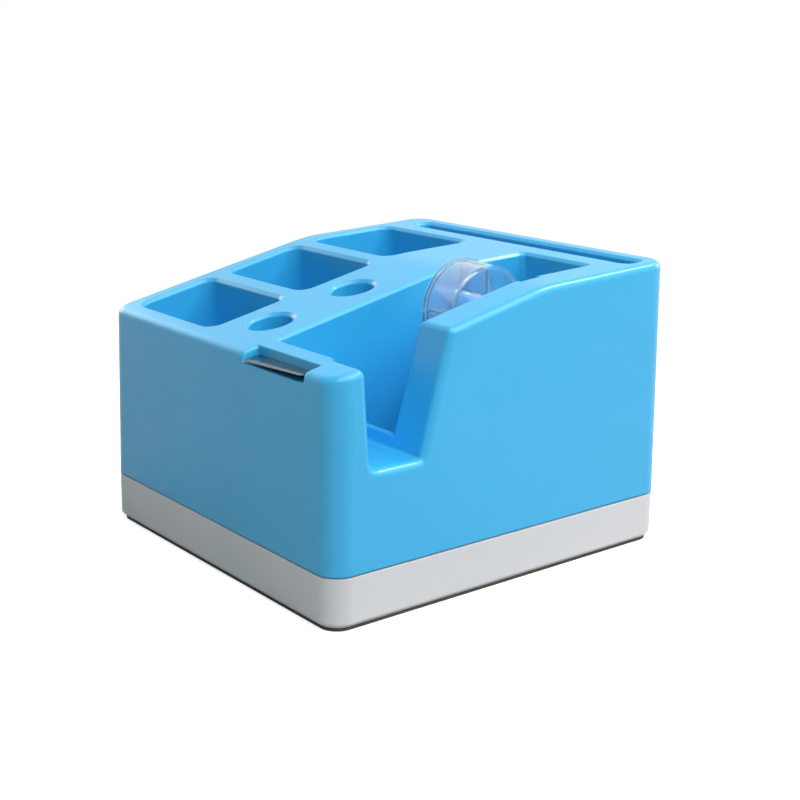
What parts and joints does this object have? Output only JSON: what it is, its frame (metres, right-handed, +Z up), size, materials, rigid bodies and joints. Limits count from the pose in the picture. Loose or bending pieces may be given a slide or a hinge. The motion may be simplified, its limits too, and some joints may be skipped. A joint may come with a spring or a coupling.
{
  "type": "desk organizer with tape dispenser",
  "caption": "Moulded desk organizer on a weighted base, with open compartments, pen holes, a card slot and a tape channel with a lift-out spool, a finger notch and a toothed cutter.",
  "frame": {"origin": "centre of the footprint, on the surface that the organizer stands on", "axes": "+Z up; -Y is the face that carries the cutter, +Y the rear with the card slot; +X is the side with the finger notch"},
  "size_m": [0.105, 0.1128, 0.0775],
  "materials": {
    "blue_shell": "satin",
    "white_base": "satin",
    "dark_pad": "matte",
    "cast_ballast": "rough cast",
    "zinc_screws": "bright zinc",
    "clear_spool": "clear moulded plastic",
    "blue_axle": "satin",
    "steel_cutter": "ground strip"
  },
  "bodies": {
    "housing": {"organizer_shell": "blue_shell", "base_tray": "white_base", "non_slip_pad": "dark_pad", "ballast_plate": "cast_ballast", "base_screws": "zinc_screws", "cutter_blade": "steel_cutter"},
    "axle": {"spool_axle": "blue_axle"},
    "spool": {"tape_spool": "clear_spool"}
  },
  "joints": [
    {"name": "axle_lift", "type": "slide", "parent": "housing", "child": "axle", "axis": [0, 0, 1], "range_m": [0, 0.035]},
    {"name": "spool_spin", "type": "hinge", "parent": "axle", "child": "spool", "pos_m": [0.0216, 0.0126, 0.0642], "axis": [1, 0, 0], "continuous": true}
  ]
}
